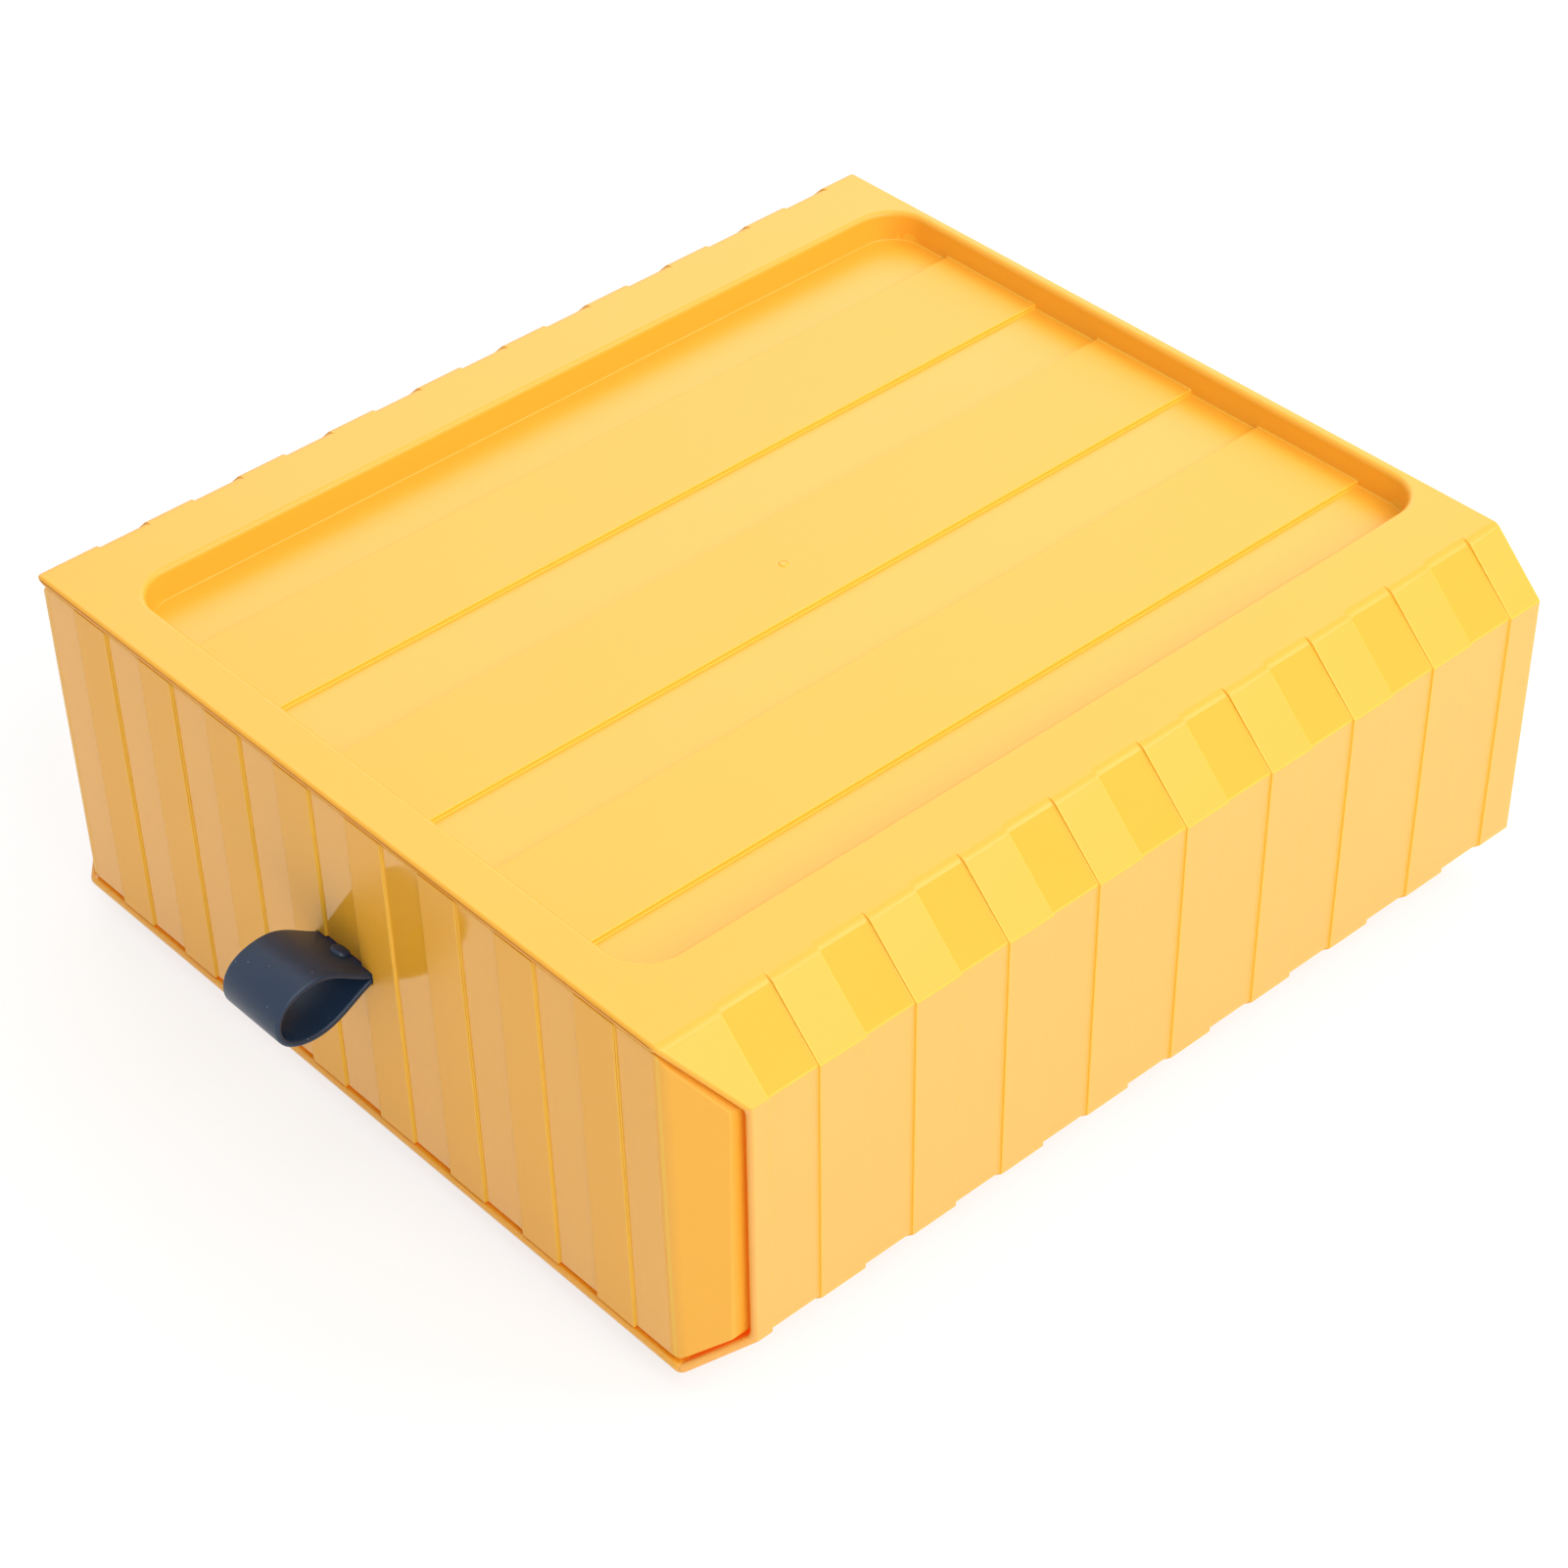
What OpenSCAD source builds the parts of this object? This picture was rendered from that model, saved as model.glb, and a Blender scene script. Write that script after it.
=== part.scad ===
// Stackable drawer box: a one-piece moulded housing and a one-piece drawer with a
// soft pull loop. X is the width, Y the depth (the drawer opens towards -Y) and Z
// the height. The origin is the middle of the stacking foot, on the table.

/* [Housing] */
// Width of the flat top
flat_w = 250; // [230:1:300]
// How far each side stands out past the flat top
chamfer_w = 16.5; // [12:0.5:22]
// Height of the upper chamfer
chamfer_h = 16.7; // [12:0.1:20]
// How far each side wall leans in on its way down
side_lean = 1.9; // [0.5:0.1:4]
// Width of the lower chamfer
low_chamfer_w = 13.1; // [9:0.1:16]
// Height of the lower chamfer
low_chamfer_h = 11.7; // [9:0.1:16]
// Height of the housing without its foot
shell_h = 107.5; // [95:0.5:140]
// Depth of the housing
shell_d = 292; // [250:1:340]
// How far back the sides start behind the front of the flat top
corner_back = 13.5; // [8:0.1:16]
// Rounding of the long edges of the flat top
edge_r = 4; // [2:0.5:6]
// Wall of the housing
wall = 2.4; // [2:0.1:3]

/* [Side bands] */
// From the front to the first sunk band
side_first = 19.3; // [17:0.1:24]
// Width of a sunk band
side_sunk_w = 15.7; // [10:0.1:20]
// From one sunk band to the next
side_pitch = 30.65; // [26:0.05:40]
// How deep the bands are sunk
side_step = 0.7; // [0.4:0.1:1.2]
// Least depth left behind the last sunk band
side_last = 10; // [8:1:20]

/* [Stacking recess] */
// From the edge of the flat top to the recess at each side
recess_side = 21.6; // [18:0.1:30]
// From the front to the recess
recess_front = 14; // [13:0.5:24]
// From the recess to the back
recess_back = 3; // [3:0.5:8]
// Depth of the recess
recess_depth = 9; // [7:0.5:11]
// Corner radius of the recess
recess_r = 12; // [8:1:20]
// How far the recess closes in towards its floor
recess_draft = 0.5; // [0.2:0.1:0.8]
// Rounding of the recess rim
rim_r = 1.7; // [1:0.1:2.4]
// Width of a raised band on the recess floor
floor_band_w = 36.5; // [30:0.5:44]
// From one raised floor band to the next
floor_band_pitch = 61.7; // [50:0.1:64]
// Height of the raised floor bands
floor_band_h = 1.3; // [0.8:0.1:2]
// Raised floor bands
floor_band_count = 3; // [1:1:3]
// Diameter of the moulding gate mark in the middle of the top
gate_d = 2.4; // [1.5:0.1:4]
// Height of the gate mark
gate_h = 0.3; // [0.1:0.1:0.5]

/* [Stacking foot] */
// Room round the foot in the recess of the box below
foot_fit = 0.8; // [0.4:0.1:1.5]
// Room between the foot and the raised bands below it
foot_rise = 1.2; // [0.3:0.1:1.5]
// Thickness of the foot's rim
foot_t = 2.4; // [2:0.1:4]
// Chamfer that leads the foot into the recess
foot_chamfer = 1; // [0.5:0.1:1.5]

/* [Runners and stops] */
// From the foot's rim to the runner at each side
runner_off = 9; // [6:0.5:12]
// Width of a runner
runner_w = 3; // [2:0.5:5]
// Height of a runner
runner_h = 1.2; // [0.9:0.1:2]
// Travel of the drawer, up to its stops
travel = 220; // [150:5:230]
// Width of each stop
stop_w = 30; // [20:1:40]
// From the middle to each stop
stop_off = 55; // [30:1:65]
// Thickness of the lips that meet the stops, whose ramps are twice as long
stop_t = 3; // [2:0.5:4]

/* [Drawer] */
// Room between the drawer and the housing's sides
drawer_gap = 1.2; // [0.8:0.1:2]
// Room above and below the drawer front
front_gap = 0.6; // [0.4:0.1:1.5]
// Room between the drawer and its runners
run_gap = 0.3; // [0.2:0.05:0.5]
// Room between the stop ridges and the bin's floor
ridge_gap = 0.4; // [0.3:0.05:0.6]
// From the front of the housing to the raised bands of the drawer
front_set = 0.4; // [0.2:0.1:1]
// Thickness of the drawer front behind its bands
front_t = 2.2; // [2:0.1:3]
// Angle at which the ends of the drawer front turn back
corner_turn = 36.5; // [20:0.5:40]
// Rounding where they turn back
corner_r = 8; // [3:0.5:12]
// Depth of the returns behind them
return_d = 8; // [6:1:14]
// Wall of the bin
bin_wall = 2; // [1.6:0.1:3]
// Floor of the bin
bin_floor = 2; // [1.6:0.1:3]
// Inside radius of the bin's rear corners
bin_r = 7; // [3:1:14]
// From the bin's top up to the housing's upper chamfer
bin_below = 6; // [5:0.5:20]
// Room behind the drawer when it is shut
bin_back = 0.6; // [0.4:0.1:5]

/* [Front bands] */
// Width of a raised band
band_w = 14.2; // [10:0.1:18]
// From one raised band to the next
band_pitch = 29.2; // [24:0.1:32]
// How far the bands stand out
band_step = 0.7; // [0.5:0.05:1.2]
// Raised bands
bands = 8; // [4:2:8]

/* [Pull loop] */
// Width of the strap
strap_w = 23; // [16:0.5:26]
// Thickness of the strap
strap_t = 1.8; // [1.4:0.1:2.2]
// How far the loop stands out of the drawer
loop_l = 29.6; // [24:0.2:40]
// Height of the loop over its two layers
loop_h = 19; // [16:0.5:26]
// Room round the strap in its slot
slot_fit = 0.2; // [0.1:0.05:0.4]
// Diameter of the bead that holds the strap behind the slot
bead_d = 6.6; // [5.5:0.1:9]
// Diameter of the round nub on the strap
nub_d = 5.4; // [3:0.1:6.5]
// Height of the nub
nub_h = 1.3; // [0.5:0.1:1.5]

/* [Hidden] */
$fn = 48;
e = 0.01;

yellow = "#F7BE3B";
navy = "#2E3B52";

// Half widths and heights of the housing's section, counted from its floor
flat_x = flat_w / 2;
side_x = flat_x + chamfer_w;
low_x = side_x - side_lean;
floor_x = low_x - low_chamfer_w;
joint_z = shell_h - chamfer_h;
lean = atan(side_lean / (joint_z - low_chamfer_h));
far = 2 * side_x;

// The recess and the foot have their middle at Y = 0
front_y = (recess_back - recess_front - shell_d) / 2;
back_y = front_y + shell_d;

// Recess in plan, its floor and the foot that fits it
recess_x = flat_x - recess_side;
recess_y0 = front_y + recess_front;
recess_y1 = back_y - recess_back;
recess_z = shell_h - recess_depth;
foot_h = recess_depth - floor_band_h - foot_rise;
foot_in = recess_draft + foot_fit;

// Drawer
drawer_in = wall + drawer_gap;
front_z0 = wall + front_gap;
front_z1 = shell_h - wall - front_gap;
face_y = front_y + front_set + band_step;
front_back = face_y + front_t;
run_z = wall + runner_h + run_gap;
bin_z = joint_z - bin_below;
bin_y1 = back_y - wall - bin_back;

// Slot and strap
slot_z = shell_h / 2;
slot_w = strap_w + 2 * slot_fit;
slot_h = 2 * (strap_t + slot_fit);
strap_y = front_y + front_set;

// Housing section as a ring of corners, anticlockwise from the floor
outline = [[floor_x, 0], [low_x, low_chamfer_h], [side_x, joint_z], [flat_x, shell_h],
    [-flat_x, shell_h], [-side_x, joint_z], [-low_x, low_chamfer_h], [-floor_x, 0]];

function normal(p, q) = let (d = q - p) [d[1], -d[0]] / norm(d);

// A convex ring of corners with each side moved inwards by t
function inset(ring, t) = [for (i = [0:len(ring) - 1]) let (
    p = ring[i],
    before = normal(ring[(i + len(ring) - 1) % len(ring)], p),
    after = normal(p, ring[(i + 1) % len(ring)])
) p - (before + after) * t / (1 + before * after)];

module box(low, high) {
    translate(low) cube(high - low);
}

module both_sides() {
    children();
    mirror([1, 0, 0]) children();
}

// Points of an arc of radius r that rounds the corner p between a and b
function rounded(a, p, b, r, n) = let (
    u = (a - p) / norm(a - p),
    v = (b - p) / norm(b - p),
    half = acos(u * v) / 2,
    centre = p + (u + v) / norm(u + v) * r / sin(half),
    from = p + u * r / tan(half) - centre,
    turn = (u[0] * v[1] - u[1] * v[0] > 0 ? -1 : 1) * (180 - 2 * half)
) [for (i = [0:n]) let (w = turn * i / n)
    centre + [from[0] * cos(w) - from[1] * sin(w), from[0] * sin(w) + from[1] * cos(w)]];

// Right side of the housing from its floor to its flat top, moved in by t
function side_line(t) = let (ring = inset(outline, t)) concat(
    [[ring[0][0] - t * low_chamfer_w / low_chamfer_h, 0], ring[1], ring[2]],
    rounded(ring[2], [ring[3][0] - t * chamfer_w / chamfer_h, shell_h], [0, shell_h], edge_r, 5));

// Shape in the X-Z plane, with Z counted from the housing's floor, drawn out
// along Y from y0 to y1
module along_y(y0, y1) {
    translate([0, y1, foot_h]) rotate([90, 0, 0]) linear_extrude(y1 - y0) children();
}

// The part of the section between two heights, with its sides moved in by t
module section(t, z0, z1) {
    intersection() {
        polygon(inset(outline, t));
        translate([-side_x, z0]) square([2 * side_x, z1 - z0]);
    }
}

// Cross-section with the same profile of [step out, height] on both sides
module two_sided(half, profile) {
    polygon(concat([for (p = profile) [half + p[0], p[1]]],
        [for (i = [len(profile) - 1:-1:0]) [-half - profile[i][0], profile[i][1]]]));
}

// Block with round corners whose sides follow a profile of [step out, height]
module tray(x, y0, y1, r, profile) {
    half_y = (y1 - y0) / 2;
    translate([0, (y0 + y1) / 2, foot_h]) {
        rotate([90, 0, 0]) linear_extrude(2 * (half_y - r), center = true)
            two_sided(x, profile);
        rotate([90, 0, 90]) linear_extrude(2 * (x - r), center = true)
            two_sided(half_y, profile);
        for (sx = [-1, 1], sy = [-1, 1]) translate([sx * (x - r), sy * (half_y - r), 0])
            rotate_extrude($fn = 64) polygon(concat([[0, profile[0][1]]],
                [for (p = profile) [r + p[0], p[1]]], [[0, profile[len(profile) - 1][1]]]));
    }
}

// Housing: sides, floor, back and top with its stacking recess, in one moulding
module housing() {
    color(yellow) {
        difference() {
            union() {
                difference() {
                    along_y(front_y, back_y) two_sided(0, side_line(0));
                    along_y(front_y - 1, back_y - wall) polygon(inset(outline, wall));
                }
                recess_pan();
            }
            recess_hollow();
            side_band_cuts();
            corner_cuts();
        }
        floor_bands();
        stacking_foot();
        runners();
        stop_ridges();
    }
}

// Sunk bands of the sides, which run over the chamfers
module side_band_cuts() {
    count = floor((shell_d - side_first - side_sunk_w - side_last) / side_pitch) + 1;
    line = side_line(side_step);
    top_x = line[len(line) - 1][0];
    both_sides() for (i = [0:count - 1]) {
        y = front_y + side_first + i * side_pitch;
        along_y(y, y + side_sunk_w) polygon(concat(line,
            [[top_x, shell_h + 1], [far, shell_h + 1], [far, -1], [line[0][0], -1]]));
    }
}

// What the front of the housing loses at its sides, square to each of its walls
module corner_cuts() {
    both_sides() intersection() {
        box([0, front_y - far, 0], [far, front_y + corner_back, 2 * shell_h]);
        chamfer_cut([flat_x, shell_h], atan(chamfer_h / chamfer_w), chamfer_w, chamfer_h);
        mirror_at_middle() chamfer_cut([floor_x, shell_h],
            atan(low_chamfer_h / low_chamfer_w), low_chamfer_w, low_chamfer_h);
    }
}

// All that lies in front of a cut that runs from p down a chamfer of that slope
module chamfer_cut(p, slope, w, h) {
    translate([p[0], front_y, foot_h + p[1]]) rotate([0, slope, 0])
        rotate([0, 0, atan(corner_back / norm([w, h]))])
            translate([-2 * far, -2 * far, -2 * far]) cube([4 * far, 2 * far, 4 * far]);
}

// Turned upside down about the middle of the housing's height
module mirror_at_middle() {
    translate([0, 0, 2 * foot_h + shell_h]) mirror([0, 0, 1]) children();
}

// Walls and floor that hang under the recess
module recess_pan() {
    tray(recess_x + wall, recess_y0 - wall, recess_y1 + wall, recess_r + wall,
        [[-recess_draft, recess_z - wall], [0, shell_h - wall / 2]]);
}

// Hollow of the recess, with a rounded rim
module recess_hollow() {
    steps = 6;
    rim = [for (i = [0:steps]) let (a = 90 * i / steps)
        [rim_r * (1 - cos(a)), shell_h - rim_r * (1 - sin(a))]];
    tray(recess_x, recess_y0, recess_y1, recess_r,
        concat([[-recess_draft, recess_z]], rim, [[rim_r, shell_h + 1]]));
}

// Raised bands on the recess floor, with the moulding gate's mark in the middle
module floor_bands() {
    first = -(floor_band_count - 1) / 2;
    intersection() {
        tray(recess_x + e, recess_y0 - e, recess_y1 + e, recess_r + e,
            [[-recess_draft, recess_z - e], [0, shell_h - rim_r]]);
        along_y(front_y, back_y) for (i = [0:floor_band_count - 1])
            translate([(first + i) * floor_band_pitch - floor_band_w / 2, recess_z - 2 * e])
                square([floor_band_w, floor_band_h + 2 * e]);
    }
    translate([0, 0, foot_h + recess_z - wall / 2])
        cylinder(h = wall / 2 + (floor_band_count % 2) * floor_band_h + gate_h, d = gate_d, $fn = 32);
}

// Rim under the floor that stands in the recess of the box below
module stacking_foot() {
    x = recess_x - foot_in;
    y0 = recess_y0 + foot_in;
    y1 = recess_y1 - foot_in;
    r = recess_r - foot_in;
    difference() {
        tray(x, y0, y1, r, [[-foot_chamfer, -foot_h], [0, foot_chamfer - foot_h], [0, wall / 2]]);
        tray(x - foot_t, y0 + foot_t, y1 - foot_t, r - foot_t, [[0, -foot_h - 1], [0, 0]]);
    }
}

// Ribs on the floor that the drawer slides on
module runners() {
    x = recess_x + runner_off;
    both_sides() box([x, recess_y0, foot_h + wall / 2],
        [x + runner_w, bin_y1 - bin_r, foot_h + wall + runner_h]);
}

// Ridges on the floor that stop the drawer's rear lips, ramped to let them in
module stop_ridges() {
    y = bin_y1 - stop_t - travel - run_gap;
    h = run_z - ridge_gap;
    both_sides() translate([stop_off, 0, foot_h]) rotate([90, 0, 90]) linear_extrude(stop_w)
        polygon([[y - 2 * stop_t, wall - e], [y, wall - e], [y, h]]);
}

// Drawer: bin, front with its bands and returns, and stop lips, in one moulding
module drawer() {
    color(yellow) difference() {
        union() {
            drawer_front();
            bin();
            front_bands();
            stop_lips();
        }
        box([-slot_w / 2, front_y - 5, foot_h + slot_z - slot_h / 2],
            [slot_w / 2, front_back + 5, foot_h + slot_z + slot_h / 2]);
    }
}

// All that lies behind the drawer front and its oblique corners, moved back by t
module behind_front(t) {
    turn = [far, face_y + (far - flat_x) * tan(corner_turn)];
    corner = rounded([0, face_y], [flat_x, face_y], turn, corner_r, 5);
    translate([0, 0, foot_h - 1]) linear_extrude(shell_h + 2) polygon(inset(concat(
        corner, [turn, [far, far], [-far, far], [-turn[0], turn[1]]],
        [for (i = [len(corner) - 1:-1:0]) [-corner[i][0], corner[i][1]]]), t));
}

// Front wall, its two oblique corners and the returns behind them
module drawer_front() {
    y1 = front_y + corner_back + return_d;
    hollow_x = flat_x - (drawer_in + front_t) / 2;
    difference() {
        intersection() {
            along_y(front_y, y1) section(drawer_in, front_z0, front_z1);
            behind_front(0);
        }
        intersection() {
            along_y(front_y, y1 + 1) {
                polygon(inset(outline, drawer_in + front_t));
                translate([-hollow_x, 0]) square([2 * hollow_x, shell_h]);
            }
            behind_front(front_t);
        }
    }
}

// Block with leaning sides and round rear corners, its faces moved in by t
module bin_block(z0, z1, t) {
    x = side_x - (drawer_in + t) / cos(lean);
    r = bin_r + bin_wall - t;
    intersection() {
        along_y(face_y, bin_y1 - t) section(drawer_in + t, z0, z1);
        behind_front(t);
        bin_side(x, t, r);
        mirror([1, 0, 0]) bin_side(x, t, r);
    }
}

module bin_side(x, t, r) {
    translate([x, 0, foot_h + joint_z]) rotate([0, lean, 0]) translate([-x, 0, -2 * shell_h])
        linear_extrude(4 * shell_h) difference() {
            translate([-far, face_y]) square([far + x, bin_y1 - t - face_y]);
            translate([x - r, bin_y1 - t - r]) difference() {
                square(2 * r);
                circle(r, $fn = 64);
            }
        }
}

module bin() {
    difference() {
        bin_block(run_z, bin_z, 0);
        bin_block(run_z + bin_floor, shell_h, bin_wall);
    }
}

module front_bands() {
    for (i = [0:bands - 1]) {
        x = (i - (bands - 1) / 2) * band_pitch;
        box([x - band_w / 2, strap_y, foot_h + front_z0],
            [x + band_w / 2, face_y + front_t / 2, foot_h + front_z1]);
    }
}

// Lips under the bin's rear edge
module stop_lips() {
    both_sides() box([stop_off, bin_y1 - stop_t, foot_h + wall + run_gap],
        [stop_off + stop_w, bin_y1, foot_h + run_z + bin_floor / 2]);
}

// Cubic curve from p[0] towards p[3], in n steps without its last point
function bezier(p, n) = [for (i = [0:n - 1]) let (t = i / n, s = 1 - t)
    s * s * s * p[0] + 3 * s * s * t * p[1] + 3 * s * t * t * p[2] + t * t * t * p[3]];

// Middle of the strap in [y, z] from the slot: over the top, round the nose and
// back along the lower side
function loop_path(n) = let (
    far_y = -(loop_l - strap_t / 2),
    top = loop_h / 2 - strap_t / 2 + 0.6,
    low = top - 1.2,
    start = strap_t / 2
) concat(
    bezier([[0, start], [0.21 * far_y, 0.42 * top], [0.35 * far_y, top], [0.57 * far_y, top]], n),
    bezier([[0.57 * far_y, top], [0.82 * far_y, top], [far_y, 0.63 * top], [far_y, 0]], n),
    bezier([[far_y, 0], [far_y, -0.6 * low], [0.85 * far_y, -low], [0.62 * far_y, -low]], n),
    bezier([[0.62 * far_y, -low], [0.38 * far_y, -low], [0.21 * far_y, -0.4 * low], [0, -start]], n),
    [[0, -start]]);

// An open path moved by t to its left
function beside(path, t) = [for (i = [0:len(path) - 1]) let (
    d = path[min(i + 1, len(path) - 1)] - path[max(i - 1, 0)]
) path[i] + t * [d[1], -d[0]] / norm(d)];

// Pull loop: one soft strap bent round, its ends held by a bead behind the slot
module pull_loop() {
    steps = 8;
    path = loop_path(steps);
    outer = beside(path, strap_t / 2);
    inner = beside(path, -strap_t / 2);
    bead_y = front_back + slot_fit + bead_d / 2;
    color(navy) translate([-strap_w / 2, 0, foot_h + slot_z]) {
        translate([0, strap_y, 0]) rotate([90, 0, 90]) linear_extrude(strap_w) difference() {
            polygon(outer);
            polygon([for (i = [1:len(inner) - 2]) inner[i]]);
        }
        box([0, strap_y - e, -strap_t], [strap_w, bead_y, strap_t]);
        translate([0, bead_y, 0]) rotate([0, 90, 0]) cylinder(h = strap_w, d = bead_d);
        nub(outer[1], outer[2] - outer[0]);
    }
}

// Round nub on the upper side of the strap, square to it at p
module nub(p, d) {
    translate([strap_w / 2, strap_y + p[0], p[1]]) rotate([-atan2(-d[1], -d[0]), 0, 0])
        translate([0, 0, -strap_t / 2]) cylinder(h = strap_t / 2 + nub_h, d = nub_d, $fn = 32);
}

housing();
drawer();
pull_loop();
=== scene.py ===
import math

import bmesh
import bpy
from mathutils import Matrix, Vector


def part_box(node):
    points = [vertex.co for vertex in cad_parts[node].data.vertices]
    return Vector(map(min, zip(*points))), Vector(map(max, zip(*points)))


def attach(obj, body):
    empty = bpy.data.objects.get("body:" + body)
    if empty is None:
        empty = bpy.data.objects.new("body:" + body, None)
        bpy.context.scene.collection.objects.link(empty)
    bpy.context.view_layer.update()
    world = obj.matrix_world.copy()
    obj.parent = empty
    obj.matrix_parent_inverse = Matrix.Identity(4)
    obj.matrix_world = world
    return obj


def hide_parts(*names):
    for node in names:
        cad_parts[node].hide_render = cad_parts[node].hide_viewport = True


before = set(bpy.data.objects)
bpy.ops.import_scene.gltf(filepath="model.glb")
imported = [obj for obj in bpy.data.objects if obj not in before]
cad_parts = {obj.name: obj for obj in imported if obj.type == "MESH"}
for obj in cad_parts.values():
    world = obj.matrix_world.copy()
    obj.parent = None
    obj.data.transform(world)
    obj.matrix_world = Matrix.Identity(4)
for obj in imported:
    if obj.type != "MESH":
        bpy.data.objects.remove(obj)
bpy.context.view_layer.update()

scene = bpy.context.scene


# Camera: it looks at the box from the front right, 39 degrees above it, with a long
# lens. Its place and turn were solved from the box's straight edges.
def place_camera(name, place, azimuth, elevation, roll, lens):
    a, e, r = (math.radians(v) for v in (azimuth, elevation, roll))
    ahead = Vector((-math.sin(a) * math.cos(e), math.cos(a) * math.cos(e), -math.sin(e)))
    right = ahead.cross(Vector((0, 0, 1))).normalized()
    up = right.cross(ahead)
    turned_right = right * math.cos(r) + up * math.sin(r)
    turned_up = up * math.cos(r) - right * math.sin(r)
    data = bpy.data.cameras.new(name)
    data.sensor_width = 36
    data.lens = lens
    data.clip_start, data.clip_end = 0.05, 20
    camera = bpy.data.objects.new(name, data)
    camera.matrix_world = Matrix((
        (turned_right.x, turned_up.x, -ahead.x, place[0]),
        (turned_right.y, turned_up.y, -ahead.y, place[1]),
        (turned_right.z, turned_up.z, -ahead.z, place[2]),
        (0, 0, 0, 1)))
    scene.collection.objects.link(camera)
    return camera


scene.camera = place_camera("camera", (0.6294, -0.5459, 0.7170), 49.190, 39.474, -1.9206, 89.42)
scene.view_settings.view_transform = "Standard"


# Studio: a white table in a white room, lit softly from above and from the box's
# right side, so that its front is the darkest side that shows.
def linear(colour):
    """An sRGB hex colour as the linear values that a shader takes."""
    parts = [int(colour[i:i + 2], 16) / 255 for i in (1, 3, 5)]
    return [c / 12.92 if c <= 0.04045 else ((c + 0.055) / 1.055) ** 2.4 for c in parts] + [1]


def add(tree, kind, links=None, **settings):
    """A new node with its settings. links gives a value or another node's socket for
    each of its inputs, by name or number."""
    node = tree.nodes.new(kind)
    for key, value in settings.items():
        setattr(node, key, value)
    for key, value in (links or {}).items():
        socket = node.inputs[key]
        if isinstance(value, bpy.types.NodeSocket):
            tree.links.new(value, socket)
        else:
            socket.default_value = value
    return node


def new_material(name):
    material = bpy.data.materials.new(name)
    material.use_nodes = True
    material.node_tree.nodes.clear()
    return material, material.node_tree


def seen_directly(tree):
    """1 for what the camera sees, also in a reflection or through glass, 0 for other light."""
    path = add(tree, "ShaderNodeLightPath")
    seen = add(tree, "ShaderNodeMath", {0: path.outputs["Is Camera Ray"],
               1: path.outputs["Is Glossy Ray"]}, operation="MAXIMUM")
    seen = add(tree, "ShaderNodeMath", {0: seen.outputs[0],
               1: path.outputs["Is Transmission Ray"]}, operation="MAXIMUM")
    return seen


world = bpy.data.worlds.new("white_room")
scene.world = world
world.use_nodes = True
room = world.node_tree
room.nodes.clear()
light = add(room, "ShaderNodeBackground", {"Color": linear("#FFFCF6"), "Strength": 0.57})
white = add(room, "ShaderNodeBackground", {"Color": linear("#FFFFFF"), "Strength": 1.0})
seen = seen_directly(room)
mixed = add(room, "ShaderNodeMixShader", {0: seen.outputs[0], 1: light.outputs[0],
            2: white.outputs[0]})
add(room, "ShaderNodeOutputWorld", {0: mixed.outputs[0]})

mesh = bpy.data.meshes.new("table_top")
reach = 3.0
mesh.from_pydata([(-reach, -reach, 0), (reach, -reach, 0), (reach, reach, 0), (-reach, reach, 0)],
                 [], [(0, 1, 2, 3)])
table_top = bpy.data.objects.new("table_top", mesh)
scene.collection.objects.link(table_top)
material, tree = new_material("white_table")
paint = add(tree, "ShaderNodeBsdfDiffuse", {"Color": linear("#F4F4F2")})
thin_paint = add(tree, "ShaderNodeBsdfDiffuse", {"Color": linear("#8A8A8A")})
glow = add(tree, "ShaderNodeEmission", {"Color": linear("#FFFFFF"), "Strength": 0.76})
both = add(tree, "ShaderNodeAddShader", {0: thin_paint.outputs[0], 1: glow.outputs[0]})
seen = seen_directly(tree)
mixed = add(tree, "ShaderNodeMixShader", {0: seen.outputs[0], 1: paint.outputs[0],
            2: both.outputs[0]})
add(tree, "ShaderNodeOutputMaterial", {0: mixed.outputs[0]})
mesh.materials.append(material)


def soft_light(name, place, size, power):
    data = bpy.data.lights.new(name, "AREA")
    data.size = size
    data.energy = power
    lamp = bpy.data.objects.new(name, data)
    lamp.location = place
    lamp.rotation_mode = "QUATERNION"
    lamp.rotation_quaternion = Vector(place).to_track_quat("Z", "Y")
    scene.collection.objects.link(lamp)


soft_light("overhead_light", (0.25, 0.1, 1.9), 1.6, 8)
soft_light("window_light", (1.05, 0.95, 1.45), 0.6, 10)
soft_light("right_light", (1.5, -0.15, 1.15), 1.2, 15)
soft_light("rear_light", (-1.25, 1.1, 1.25), 1.6, 13)


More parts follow.
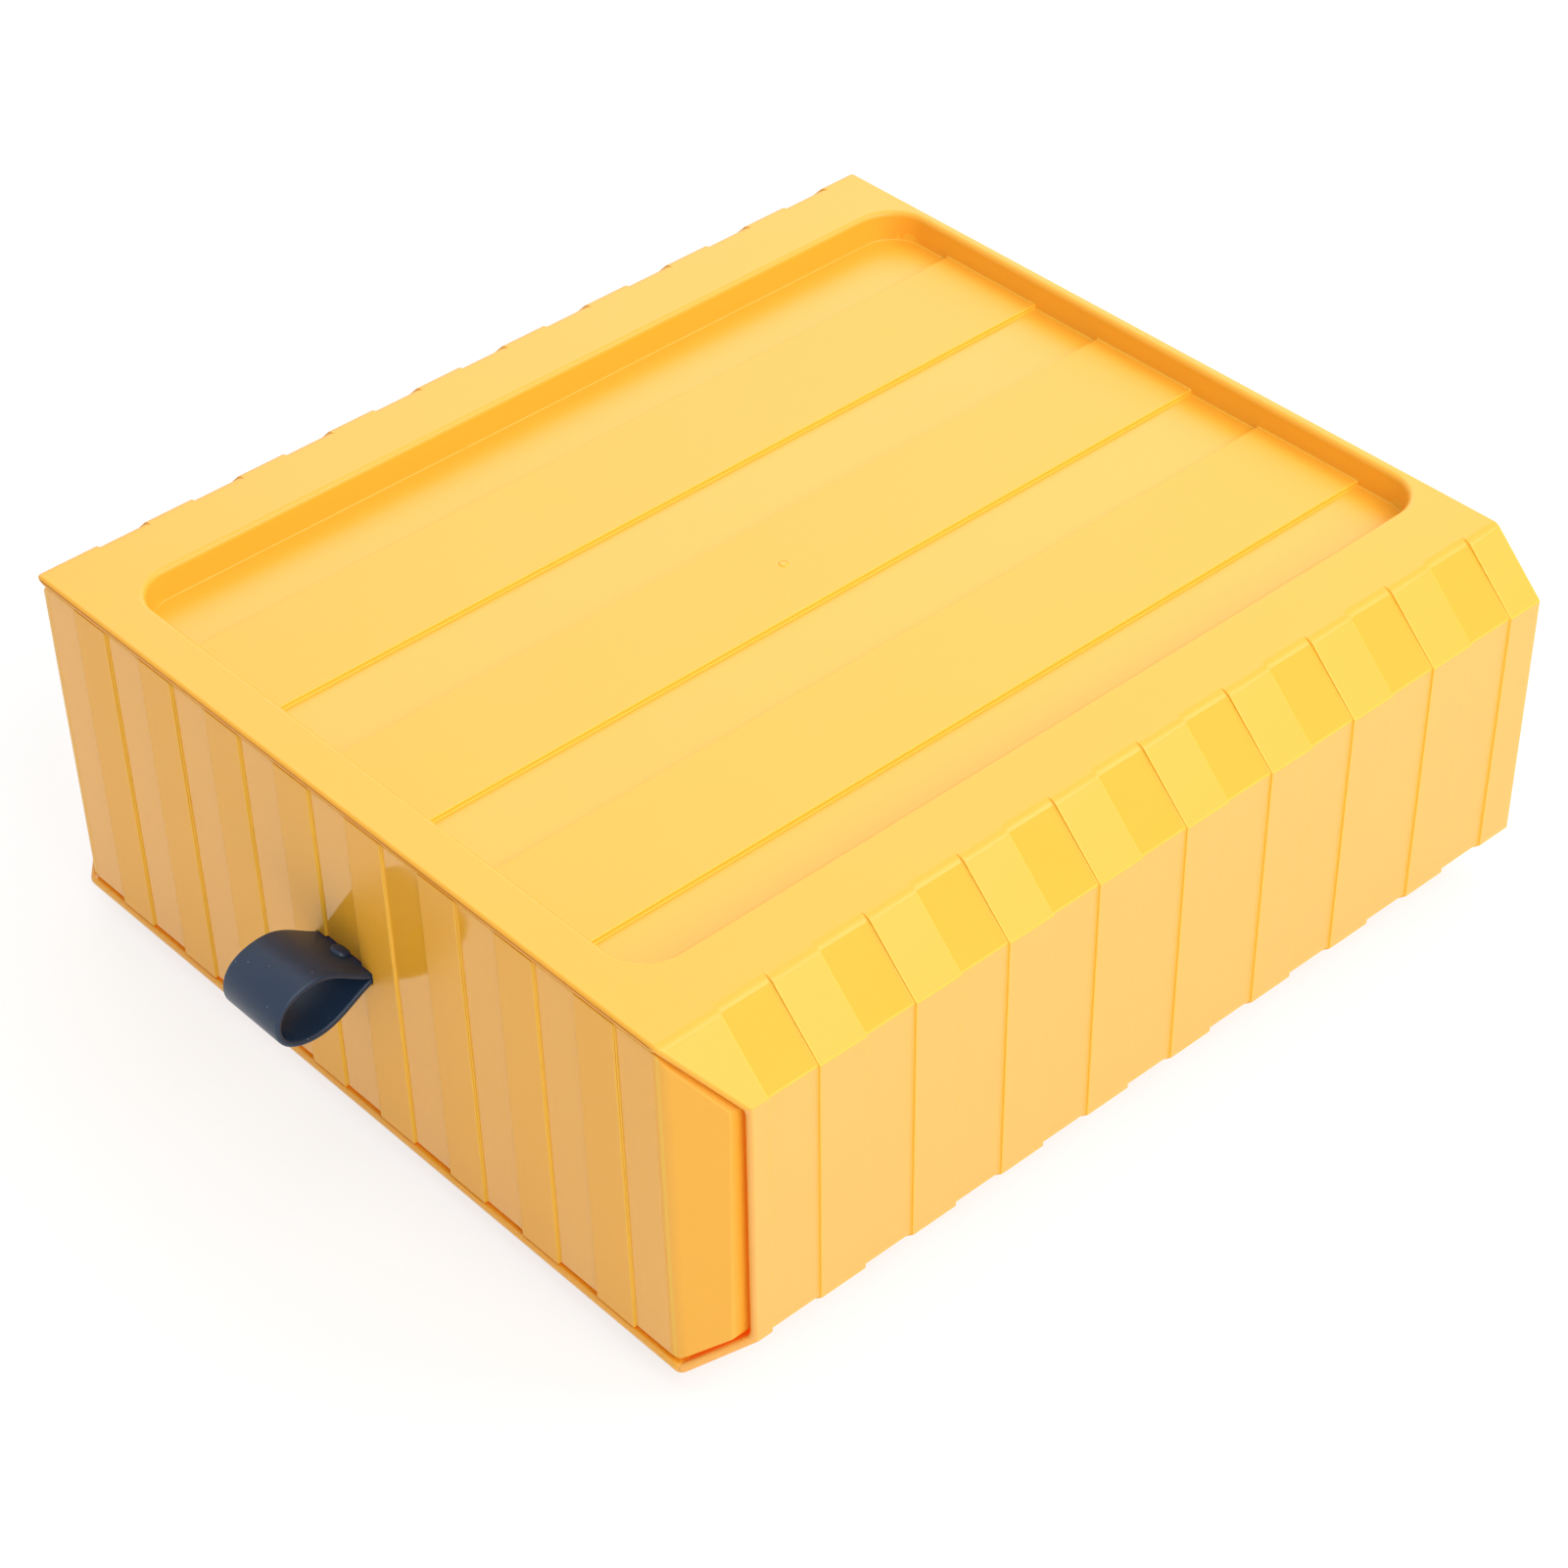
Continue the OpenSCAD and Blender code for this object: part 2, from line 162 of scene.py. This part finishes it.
# Yellow plastic: injection-moulded polypropylene. Where the mould is polished, it mirrors
# what stands before it; where it is finely etched, it only shines softly. Light goes a
# little way into it: a painted orange glow, emitted where ambient occlusion finds the
# deepest gaps, stands for that light.
def yellow_plastic(name, roughness, grain_mm, grain_depth, shades):
    material, tree = new_material(name)
    spot = add(tree, "ShaderNodeTexCoord").outputs["Object"]
    cloud = add(tree, "ShaderNodeTexNoise", {"Vector": spot, "Scale": 1 / 0.045, "Detail": 3.0})
    tint = add(tree, "ShaderNodeMix", {0: cloud.outputs["Fac"], 6: linear(shades[0]),
               7: linear(shades[1])}, data_type="RGBA")
    grain = add(tree, "ShaderNodeTexNoise", {"Vector": spot, "Scale": 1000 / grain_mm,
                "Detail": 2.0})
    bump = add(tree, "ShaderNodeBump", {"Height": grain.outputs["Fac"], "Strength": grain_depth,
               "Distance": 0.0001})
    shine = add(tree, "ShaderNodeMapRange", {0: cloud.outputs["Fac"], 3: roughness * 0.9,
                4: roughness * 1.1})
    # painted glow: orange emission where ambient occlusion finds a deep gap
    nook = add(tree, "ShaderNodeAmbientOcclusion", {"Distance": 0.012}, samples=4)
    painted_glow_amount = add(tree, "ShaderNodeMapRange", {0: nook.outputs["AO"], 1: 0.0, 2: 0.25, 3: 1.0,
                4: 0.0})
    glow = add(tree, "ShaderNodeMix", {0: painted_glow_amount.outputs[0], 6: linear("#000000"),
               7: linear("#FF6A00")}, data_type="RGBA")
    body = add(tree, "ShaderNodeBsdfPrincipled", {
        "Base Color": tint.outputs[2], "Roughness": shine.outputs[0], "IOR": 1.54,
        "Emission Color": glow.outputs[2], "Emission Strength": 0.17,
        "Normal": bump.outputs[0]})
    add(tree, "ShaderNodeOutputMaterial", {0: body.outputs[0]})
    return material


# the etched grain is too fine to show from here, so it is drawn 0.5 mm wide
yellow = ("#F4B02E", "#F6B336")
polished = yellow_plastic("polished_yellow_polypropylene", 0.08, 6.0, 0.02, yellow)
etched = yellow_plastic("etched_yellow_polypropylene", 0.42, 0.5, 0.12, yellow)
satin = yellow_plastic("satin_yellow_polypropylene", 0.34, 0.5, 0.1, yellow)
# paler painted tints: on the sides, painted light from the room; on the narrow steps and
# roundings, painted light through thin corners
painted_room_light = yellow_plastic("painted_room_light_yellow_polypropylene", 0.42, 0.5, 0.12, ("#F4B152", "#F6B457"))
painted_edge_light = yellow_plastic("painted_edge_light_yellow_polypropylene", 0.42, 0.5, 0.12,
                          ("#F4BD36", "#F6BF3A"))
edge_radius = 0.0003


def narrow(mesh, face):
    """Whether a face is a step of the bands or a rounding, under 1 mm wide."""
    corners = [mesh.vertices[i].co for i in face.vertices]
    longest = max((a - b).length for a, b in zip(corners, corners[1:] + corners[:1]))
    return face.area < longest * 0.001


def shade_with_flat_faces(mesh):
    """Smooth shading in which each broad face stays flat up to its rounded edges."""
    shape = bmesh.new()
    shape.from_mesh(mesh)
    narrowest = 0.0016
    broad = [f.calc_area() * 2 > f.calc_perimeter() * narrowest for f in shape.faces]
    alike = math.cos(math.radians(35))
    normals = []
    for face in shape.faces:
        for loop in face.loops:
            near = [f for f in loop.vert.link_faces if f.normal.dot(face.normal) > alike]
            wide = [f for f in near if broad[f.index]]
            if broad[face.index]:
                normals.append(face.normal.copy())
            elif wide:
                normals.append(max(wide, key=lambda f: f.calc_area()).normal.copy())
            else:
                total = Vector((0, 0, 0))
                for f in near:
                    total += f.normal * f.calc_area()
                normals.append(total.normalized())
    shape.free()
    mesh.shade_smooth()
    mesh.normals_split_custom_set(normals)


def softened(name, node, radius_at):
    """A copy of a CAD node with its flat faces joined and its sharp edges rounded.
    radius_at gives an edge's radius for its middle."""
    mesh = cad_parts[node].data.copy()
    mesh.name = name
    mesh.materials.clear()
    shape = bmesh.new()
    shape.from_mesh(mesh)
    bmesh.ops.remove_doubles(shape, verts=shape.verts, dist=2e-6)
    bmesh.ops.dissolve_limit(shape, angle_limit=math.radians(0.3), verts=shape.verts,
                             edges=shape.edges)
    # edges under 0.2 mm near the front would fold over when they are rounded
    front = min(v.co.y for v in shape.verts)
    bmesh.ops.collapse(shape, edges=[e for e in shape.edges if e.calc_length() < 0.0002
                                     and e.verts[0].co.y < front + 0.006])
    share = shape.edges.layers.float.new("bevel_weight_edge")
    widest = 0.002
    for edge in shape.edges:
        if len(edge.link_faces) == 2 and edge.calc_face_angle() > math.radians(28):
            one, two = (v.co for v in edge.verts)
            edge[share] = radius_at((one + two) / 2) / widest
    shape.to_mesh(mesh)
    shape.free()
    if "custom_normal" in mesh.attributes:
        mesh.attributes.remove(mesh.attributes["custom_normal"])
    piece = bpy.data.objects.new(name, mesh)
    scene.collection.objects.link(piece)
    rounding = piece.modifiers.new("rounding", "BEVEL")
    rounding.width = widest
    rounding.segments = 3
    rounding.limit_method = "WEIGHT"
    rounding.use_clamp_overlap = False
    depsgraph = bpy.context.evaluated_depsgraph_get()
    made = bpy.data.meshes.new_from_object(piece.evaluated_get(depsgraph))
    piece.modifiers.clear()
    piece.data = made
    made.name = name
    shade_with_flat_faces(made)
    return piece


# Housing: one moulding of yellow polypropylene, open at the front. Its upper chamfers
# have polished sunk bands between etched raised ones. Its sides have the same bands, etched
# and painted paler below the crease as painted light from the room. Its top has the
# stacking recess with satin strips between its bands.
low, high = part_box("housing")
housing_front, housing_top = low.y, high.z
flat_top_x = 0.125
# sunk bands of the sides: the first one's place behind the front, their width and pitch
side_first, side_sunk, side_pitch = 0.0193, 0.0157, 0.03065
side_crease = housing_top - 0.0167
recess_floor = housing_top - 0.009
recess_bands_x = 0.1
top_edge_radius = 0.004
lip_depth, lip_radius = 0.0145, 0.001


def housing_radius(middle):
    """The lip's edges are rounder. The solid's own rounding of the flat top is kept."""
    if middle.y < housing_front + lip_depth:
        return lip_radius
    on_top_edge = (abs(middle.x) > flat_top_x - top_edge_radius
                   and middle.z > housing_top - 0.0025)
    return 0 if on_top_edge else edge_radius


housing_piece = softened("housing_moulding", "housing", housing_radius)
finishes = [etched, polished, painted_room_light, satin, painted_edge_light]
for finish in finishes:
    housing_piece.data.materials.append(finish)
for face in housing_piece.data.polygons:
    c = face.center
    outside = abs(c.x) > flat_top_x
    along = (c.y - housing_front - side_first) % side_pitch
    on_bands = (outside and c.z < housing_top - 0.0015
                and c.y > housing_front + side_first - 0.0005)
    at_recess_bands = abs(c.z - recess_floor) < 0.0018 and abs(c.x) < recess_bands_x
    finish = etched
    # narrow steps and roundings of the bands take a paler tint, painted light through thin
    # corners
    if narrow(housing_piece.data, face) and (on_bands or at_recess_bands):
        finish = painted_edge_light
    # below the crease the sides take the paler tint, painted light from the room
    elif outside and c.z < side_crease:
        finish = painted_room_light
    elif on_bands and along <= side_sunk:
        finish = polished
    elif not outside and c.z < recess_floor - 0.001:
        finish = polished
    elif not outside and abs(c.z - recess_floor) < 0.0003:
        finish = satin
    face.material_index = finishes.index(finish)
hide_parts("housing")
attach(housing_piece, "housing")


# Drawer: one moulding of the same plastic, with etched corners and raised bands on its
# polished front and a slot for the pull. Its bin slides on the housing's runners.
low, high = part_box("drawer")
band_front = low.y
corner_x = flat_top_x - 0.004

drawer_piece = softened("drawer_moulding", "drawer", lambda middle: edge_radius)
finishes = [polished, etched, painted_edge_light]
for finish in finishes:
    drawer_piece.data.materials.append(finish)
for face in drawer_piece.data.polygons:
    c = face.center
    finish = polished
    # narrow steps of the front's bands take a paler tint, painted light through thin corners
    if narrow(drawer_piece.data, face) and c.y < band_front + 0.001:
        finish = painted_edge_light
    elif c.y < band_front + 0.0004 or abs(c.x) > corner_x:
        finish = etched
    face.material_index = finishes.index(finish)
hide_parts("drawer")
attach(drawer_piece, "drawer")


# Pull loop: one strap of navy thermoplastic elastomer, moulded flat and bent round.
# Both ends go through the slot, where a bead on their ends holds them behind it.
strap_w, strap_t = 0.023, 0.0018
loop_l, loop_h = 0.0296, 0.019
bead_d = 0.0066
nub_d, nub_h = 0.0054, 0.0013
low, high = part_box("pull_loop")
strap_y = low.y + loop_l
bead_y = high.y - bead_d / 2
slot_z = 0.06025


def cubic(a, b, c, d, steps=12):
    """Points (y, z) of a cubic curve from a to d, without d itself."""
    points = []
    for i in range(steps):
        t = i / steps
        s = 1 - t
        points.append(tuple(s * s * s * a[k] + 3 * s * s * t * b[k] + 3 * s * t * t * c[k]
                            + t * t * t * d[k] for k in (0, 1)))
    return points


# the strap's middle line, seen from the side: over the top, round the far end and back
far_y = strap_t / 2 - loop_l
hump = 0.0006
rise = loop_h / 2 - strap_t / 2 + hump
fall = rise - 2 * hump
lift = strap_t / 2
route = cubic((0, lift), (0.21 * far_y, 0.42 * rise), (0.35 * far_y, rise),
              (0.57 * far_y, rise))
route += cubic((0.57 * far_y, rise), (0.82 * far_y, rise), (far_y, 0.63 * rise), (far_y, 0))
route += cubic((far_y, 0), (far_y, -0.6 * fall), (0.85 * far_y, -fall), (0.62 * far_y, -fall))
route += cubic((0.62 * far_y, -fall), (0.38 * far_y, -fall), (0.21 * far_y, -0.4 * fall),
               (0, -lift))
route = [(bead_y - strap_y, lift)] + route + [(0, -lift), (bead_y - strap_y, -lift)]

curve = bpy.data.curves.new("strap_route", "CURVE")
curve.dimensions = "3D"
spline = curve.splines.new("POLY")
spline.points.add(len(route) - 1)
for point, (y, z) in zip(spline.points, route):
    point.co = (0, strap_y + y, slot_z + z, 1)
strap_route = bpy.data.objects.new("strap_route", curve)
scene.collection.objects.link(strap_route)

navy, tree = new_material("navy_thermoplastic_elastomer")
spot = add(tree, "ShaderNodeTexCoord").outputs["Object"]
grain = add(tree, "ShaderNodeTexNoise", {"Vector": spot, "Scale": 1000 / 0.4, "Detail": 3.0})
cloud = add(tree, "ShaderNodeTexNoise", {"Vector": spot, "Scale": 1000 / 9.0, "Detail": 2.0})
tint = add(tree, "ShaderNodeMix", {0: cloud.outputs["Fac"], 6: linear("#1B2F49"),
           7: linear("#213651")}, data_type="RGBA")
# specks of dust, where the points of a 2.8 mm pattern lie within 0.15 mm of the surface
fleck = add(tree, "ShaderNodeTexVoronoi", {"Vector": spot, "Scale": 1000 / 2.8})
chosen = add(tree, "ShaderNodeMath", {0: fleck.outputs["Distance"], 1: 0.055},
             operation="LESS_THAN")
dusty = add(tree, "ShaderNodeMix", {0: chosen.outputs[0], 6: tint.outputs[2],
            7: linear("#7F8FA3")}, data_type="RGBA")
bump = add(tree, "ShaderNodeBump", {"Height": grain.outputs["Fac"], "Strength": 0.25,
           "Distance": 0.0001})
body = add(tree, "ShaderNodeBsdfPrincipled", {
    "Base Color": dusty.outputs[2], "Roughness": 0.36, "IOR": 1.5,
    "Specular IOR Level": 0.42, "Normal": bump.outputs[0]})
add(tree, "ShaderNodeOutputMaterial", {0: body.outputs[0]})

sweep = bpy.data.node_groups.new("strap_sweep", "GeometryNodeTree")
sweep.interface.new_socket("Geometry", in_out="INPUT", socket_type="NodeSocketGeometry")
sweep.interface.new_socket("Geometry", in_out="OUTPUT", socket_type="NodeSocketGeometry")
inputs = {}
for label, kind, value in (("Strap width", "NodeSocketFloat", strap_w),
                           ("Strap thickness", "NodeSocketFloat", strap_t),
                           ("Edge radius", "NodeSocketFloat", 0.0007),
                           ("Strap material", "NodeSocketMaterial", navy)):
    socket = sweep.interface.new_socket(label, in_out="INPUT", socket_type=kind)
    inputs[socket.identifier] = value
given = add(sweep, "NodeGroupInput")
level = add(sweep, "GeometryNodeSetCurveNormal", {
    "Curve": given.outputs["Geometry"], "Normal": (1, 0, 0)}, mode="FREE")
section = add(sweep, "GeometryNodeCurvePrimitiveQuadrilateral", {
    "Width": given.outputs["Strap width"], "Height": given.outputs["Strap thickness"]})
rounded = add(sweep, "GeometryNodeFilletCurve", {
    "Curve": section.outputs[0], "Radius": given.outputs["Edge radius"], "Count": 4}, mode="POLY")
swept = add(sweep, "GeometryNodeCurveToMesh", {
    "Curve": level.outputs[0], "Profile Curve": rounded.outputs[0], "Fill Caps": True})
smooth = add(sweep, "GeometryNodeSetShadeSmooth", {"Geometry": swept.outputs[0]})
real = add(sweep, "GeometryNodeRealizeInstances", {"Geometry": smooth.outputs[0]})
coated = add(sweep, "GeometryNodeSetMaterial", {
    "Geometry": real.outputs[0], "Material": given.outputs["Strap material"]})
add(sweep, "NodeGroupOutput", {"Geometry": coated.outputs[0]})
modifier = strap_route.modifiers.new("strap_sweep", "NODES")
modifier.node_group = sweep
for identifier, value in inputs.items():
    modifier[identifier] = value
made = bpy.data.meshes.new_from_object(
    strap_route.evaluated_get(bpy.context.evaluated_depsgraph_get()))
bpy.data.objects.remove(strap_route)


def join_rings(shape, rings):
    """Faces between each ring of vertices and the next."""
    for one, two in zip(rings, rings[1:]):
        for i in range(len(one)):
            j = (i + 1) % len(one)
            shape.faces.new((one[i], one[j], two[j], two[i]))


shape = bmesh.new()
shape.from_mesh(made)
# bead behind the slot, with rounded ends: each ring's place across and its radius
length, radius, turns = strap_w, bead_d / 2, 24
rings = []
for across, r in ((-length / 2, radius - 0.0008), (-length / 2 + 0.0003, radius - 0.0003),
                  (-length / 2 + 0.001, radius), (length / 2 - 0.001, radius),
                  (length / 2 - 0.0003, radius - 0.0003), (length / 2, radius - 0.0008)):
    rings.append([shape.verts.new((across, bead_y + r * math.cos(2 * math.pi * i / turns),
                                   slot_z + r * math.sin(2 * math.pi * i / turns)))
                  for i in range(turns)])
join_rings(shape, rings)
shape.faces.new(rings[0])
shape.faces.new(list(reversed(rings[-1])))
# nub on the strap's upper side: a low dome on a short wall, square to the strap
y, z = route[2]
run_y, run_z = route[3][0] - route[1][0], route[3][1] - route[1][1]
size = math.hypot(run_y, run_z)
out = Vector((0, run_z / size, -run_y / size))
ahead = Vector((0, -out.z, out.y))
centre = Vector((0, strap_y + y, slot_z + z)) + out * strap_t / 2
rings = []
for r, h in ((nub_d / 2 + 0.0003, -0.0002), (nub_d / 2, 0.0002), (nub_d / 2, nub_h * 0.55),
             (nub_d / 2 * 0.86, nub_h * 0.85), (nub_d / 2 * 0.5, nub_h)):
    rings.append([shape.verts.new(centre + out * h
                  + Vector((r * math.cos(2 * math.pi * i / turns), 0, 0))
                  + ahead * r * math.sin(2 * math.pi * i / turns)) for i in range(turns)])
join_rings(shape, rings)
shape.faces.new(list(reversed(rings[-1])))
bmesh.ops.recalc_face_normals(shape, faces=shape.faces)
for face in shape.faces:
    face.smooth = True
shape.to_mesh(made)
shape.free()
made.name = "pull_strap"
made.materials.clear()
made.materials.append(navy)
pull_strap = bpy.data.objects.new("pull_strap", made)
scene.collection.objects.link(pull_strap)
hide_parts("pull_loop")
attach(pull_strap, "drawer")
